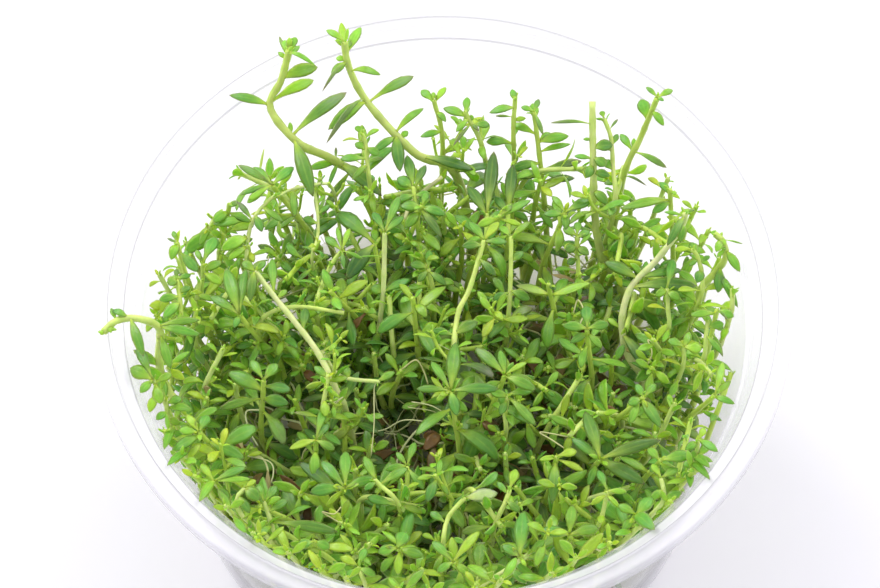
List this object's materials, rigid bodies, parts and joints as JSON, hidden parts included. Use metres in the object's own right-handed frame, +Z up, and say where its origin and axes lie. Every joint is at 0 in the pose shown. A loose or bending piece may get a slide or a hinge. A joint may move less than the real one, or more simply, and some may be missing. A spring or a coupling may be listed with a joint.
{
  "type": "ludwigia plants in a clear cup",
  "caption": "Dense mound of young ludwigia stems with small paired leaves, rooted in pale jelly in an open, clear, round plastic cup.",
  "frame": {"origin": "middle of the cup's foot, on the surface it stands on", "axes": "+Z up along the cup's axis, -Y towards the viewer of the picture, +X to the viewer's right"},
  "size_m": [0.104, 0.104, 0.0642],
  "materials": {
    "cup": "gloss",
    "jelly": "satin",
    "sprig": "satin"
  },
  "bodies": {
    "root": {"cup": "cup", "jelly": "jelly", "sprig_back_left_outer": "sprig", "sprig_back_left_inner": "sprig", "sprig_tall_cut": "sprig", "sprig_right_bent": "sprig", "sprig_right_curled": "sprig", "sprig_pale_slanting": "sprig", "sprig_over_the_rim": "sprig", "sprig_centre_leaning": "sprig", "sprig_back_1": "sprig", "sprig_back_2": "sprig", "sprig_back_3": "sprig", "sprig_back_4": "sprig", "sprig_right_back": "sprig", "sprig_pale_upright": "sprig", "sprig_left_back": "sprig", "sprig_01": "sprig", "sprig_02": "sprig", "sprig_03": "sprig", "sprig_04": "sprig", "sprig_05": "sprig", "sprig_06": "sprig", "sprig_07": "sprig", "sprig_08": "sprig", "sprig_09": "sprig", "sprig_10": "sprig", "sprig_11": "sprig", "sprig_12": "sprig", "sprig_13": "sprig", "sprig_14": "sprig", "sprig_15": "sprig", "sprig_16": "sprig", "sprig_17": "sprig", "sprig_18": "sprig", "sprig_19": "sprig", "sprig_20": "sprig", "sprig_21": "sprig", "sprig_22": "sprig", "sprig_23": "sprig", "sprig_24": "sprig", "sprig_25": "sprig", "sprig_26": "sprig", "sprig_27": "sprig", "sprig_28": "sprig", "sprig_29": "sprig", "sprig_30": "sprig", "sprig_31": "sprig", "sprig_32": "sprig"}
  },
  "joints": []
}
